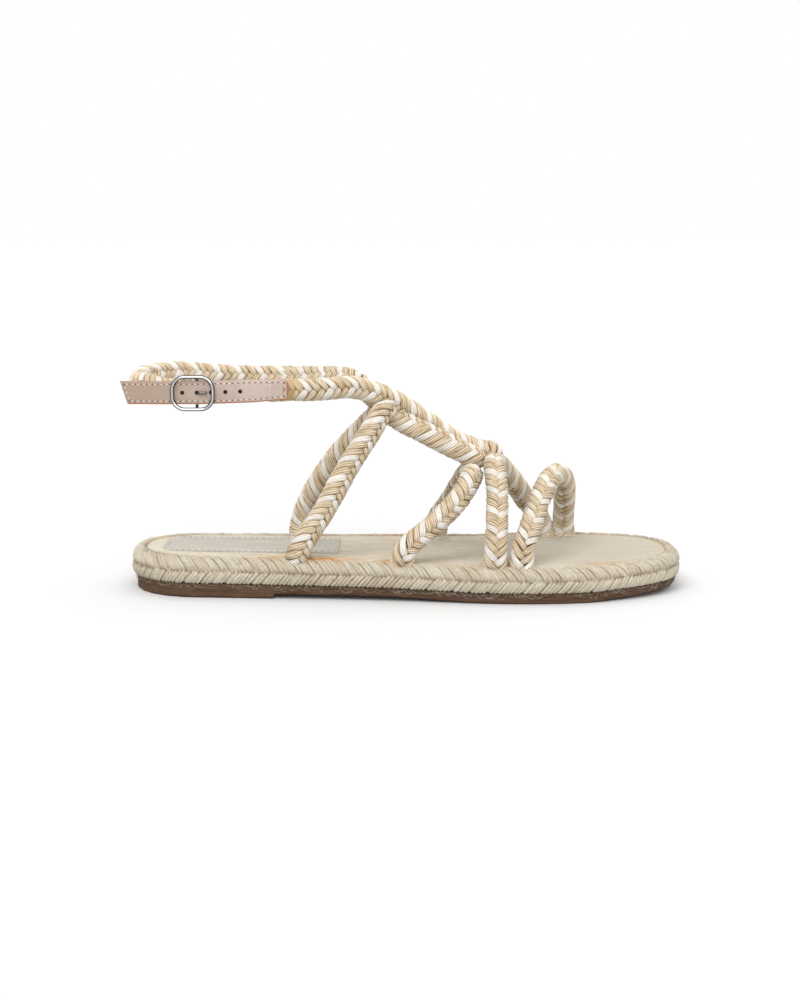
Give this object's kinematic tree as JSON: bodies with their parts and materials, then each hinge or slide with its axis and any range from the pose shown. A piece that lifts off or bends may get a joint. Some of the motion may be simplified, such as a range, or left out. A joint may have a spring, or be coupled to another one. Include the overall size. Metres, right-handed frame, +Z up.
{
  "type": "rope sandal",
  "caption": "Flat right rope sandal: braided cord straps over a jute-wrapped midsole, thin rubber outsole with low heel block, and a leather ankle strap with a metal buckle.",
  "frame": {"origin": "on the floor under the middle of the shoe's box", "axes": "+X to the toe, +Y to the medial side, +Z up"},
  "size_m": [0.2585, 0.0931, 0.1038],
  "materials": {
    "rubber": "matte moulded brown rubber",
    "jute": "braided natural jute with loose fibres",
    "linen": "slubby natural linen over the footbed",
    "label": "light grey linen label, bare",
    "raffia": "tan and white braided raffia cord",
    "leather": "smooth blush leather, edge stitched",
    "steel": "polished"
  },
  "bodies": {
    "root": {"outsole": "rubber", "jute_midsole": "jute", "insole": "linen", "heel_patch": "label", "upper": "raffia", "strap_tongue": "leather", "buckle_fold": "leather", "buckle_frame": "steel", "buckle_prong": "steel"}
  },
  "joints": []
}
